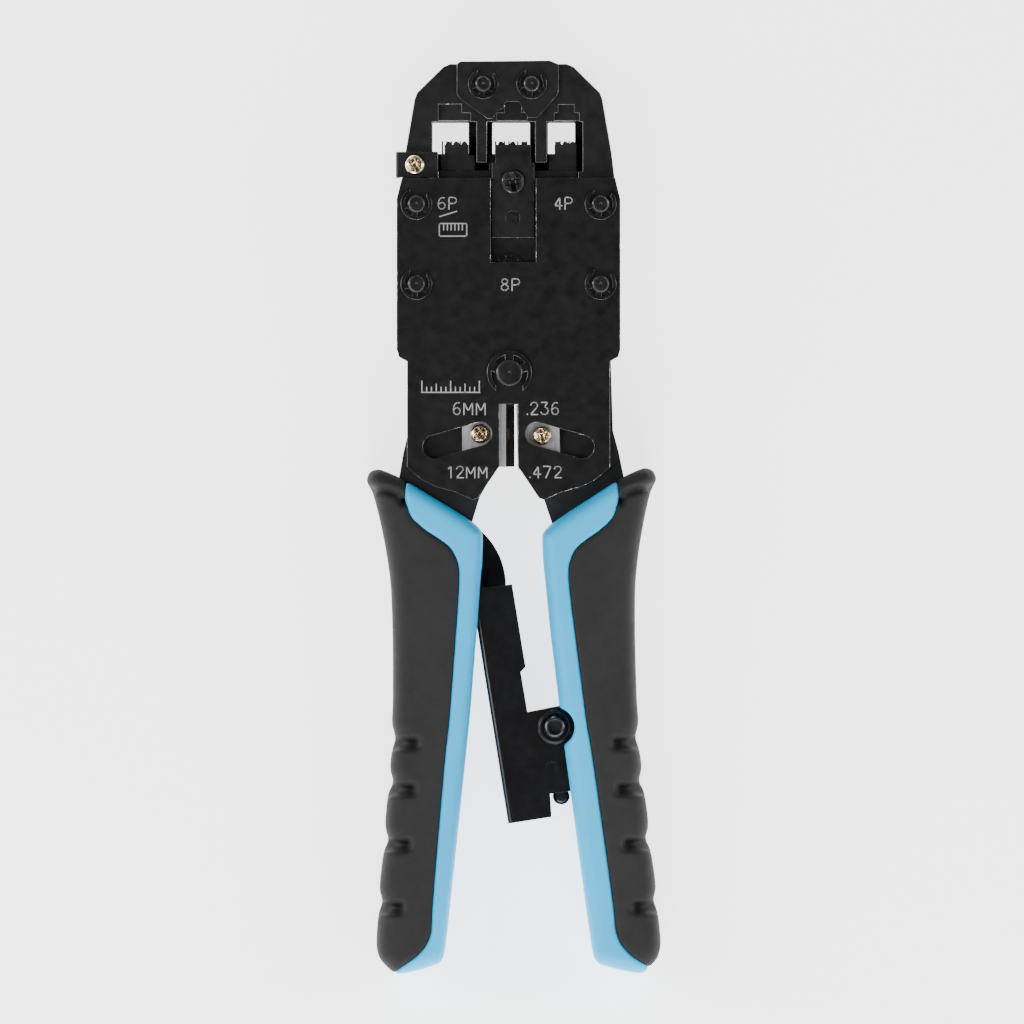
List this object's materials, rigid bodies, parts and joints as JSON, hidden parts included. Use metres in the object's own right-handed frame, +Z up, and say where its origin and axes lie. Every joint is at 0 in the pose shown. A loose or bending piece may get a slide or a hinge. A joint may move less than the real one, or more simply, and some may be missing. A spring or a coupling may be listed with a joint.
{
  "type": "modular plug crimping tool",
  "caption": "Hand crimping tool for modular telephone and network plugs, with ratchet handles, wire stripping blades and blue and black cushioned grips.",
  "frame": {"origin": "centre of the tool's bounding box on the table plane, with the tool lying flat on its back and its handles closed", "axes": "+Y along the tool from the grips to the head, +X to the right seen from the front, +Z up out of the front cover"},
  "size_m": [0.068, 0.2102, 0.023],
  "materials": {
    "cover_steel": "satin",
    "jaw_steel": "satin",
    "die_steel": "satin",
    "pin_steel": "satin",
    "clip_steel": "satin",
    "spring_steel": "satin",
    "blade_steel": "ground",
    "contact_steel": "ground",
    "nickel_screw": "nickel plated",
    "lever_steel": "satin",
    "ratchet_steel": "satin",
    "blue_grip": "satin",
    "black_grip": "matte"
  },
  "bodies": {
    "frame": {"front_cover_plate": "cover_steel", "rear_cover_plate": "cover_steel", "front_jaw_plate": "jaw_steel", "rear_jaw_plate": "jaw_steel", "front_die_plate": "jaw_steel", "rear_die_plate": "jaw_steel", "anvil_block": "die_steel", "top_pins": "pin_steel", "top_pin_clips": "clip_steel", "frame_pins": "pin_steel", "frame_pin_clips": "clip_steel", "pin_spacers": "pin_steel", "spring_post": "pin_steel", "spring_post_clip": "clip_steel", "return_spring": "spring_steel", "side_bracket": "jaw_steel", "bracket_screw": "nickel_screw"},
    "carriage": {"carriage_front_plate": "jaw_steel", "carriage_rear_plate": "jaw_steel", "carriage_block": "die_steel", "carriage_rivets": "pin_steel", "punch_6p": "die_steel", "punch_8p": "die_steel", "punch_4p": "die_steel", "contact_blades": "contact_steel", "locator_tab": "jaw_steel", "locator_screw": "pin_steel", "locator_dowel": "pin_steel", "drive_pin": "pin_steel", "drive_pin_clips": "clip_steel"},
    "left_handle": {"left_front_lever": "lever_steel", "left_rear_lever": "lever_steel", "left_lever_rivets": "pin_steel", "left_blade": "blade_steel", "left_blade_screw": "nickel_screw", "left_grip_shell": "blue_grip", "left_grip_cover": "black_grip", "rack_pin": "pin_steel", "rack_pin_washers": "pin_steel"},
    "right_handle": {"right_front_lever": "lever_steel", "right_rear_lever": "lever_steel", "right_lever_rivets": "pin_steel", "right_blade": "blade_steel", "right_blade_screw": "nickel_screw", "right_grip_shell": "blue_grip", "right_grip_cover": "black_grip"},
    "channel": {"ratchet_channel": "ratchet_steel", "channel_rivet": "pin_steel", "rack_guides": "ratchet_steel", "pawl_pin": "pin_steel", "pawl_spring": "spring_steel"},
    "rack": {"ratchet_rack": "ratchet_steel"},
    "pawl": {"ratchet_pawl": "ratchet_steel", "release_pin": "pin_steel"}
  },
  "joints": [
    {"name": "left_handle_open", "type": "hinge", "parent": "frame", "child": "left_handle", "pos_m": [-0.02233, 0.05373, 0.0115], "axis": [0, 0, -1], "range_deg": [0, 15]},
    {"name": "right_handle_open", "type": "hinge", "parent": "frame", "child": "right_handle", "pos_m": [0.01999, 0.05373, 0.0115], "axis": [0, 0, 1], "range_deg": [0, 15]},
    {"name": "carriage_slide", "type": "slide", "parent": "frame", "child": "carriage", "axis": [0, -1, 0], "range_m": [0, 0.0055]},
    {"name": "channel_swing", "type": "hinge", "parent": "right_handle", "child": "channel", "pos_m": [0.0095, -0.04807, 0.0115], "axis": [0, 0, 1], "range_deg": [0, 22.02]},
    {"name": "rack_slide", "type": "slide", "parent": "channel", "child": "rack", "axis": [-0.1564, 0.9877, 0], "range_m": [0, 0.03059]},
    {"name": "pawl_rock", "type": "hinge", "parent": "channel", "child": "pawl", "pos_m": [0.00873, -0.0573, 0.0115], "axis": [0, 0, -1], "range_deg": [0, 12]}
  ],
  "couplings": [
    {"joint": "right_handle_open", "follows": "left_handle_open", "ratio": 1},
    {"joint": "carriage_slide", "follows": "left_handle_open", "m_per_rad": 0.02097},
    {"joint": "channel_swing", "follows": "left_handle_open", "ratio": 1.4671},
    {"joint": "rack_slide", "follows": "left_handle_open", "m_per_rad": 0.11683}
  ]
}
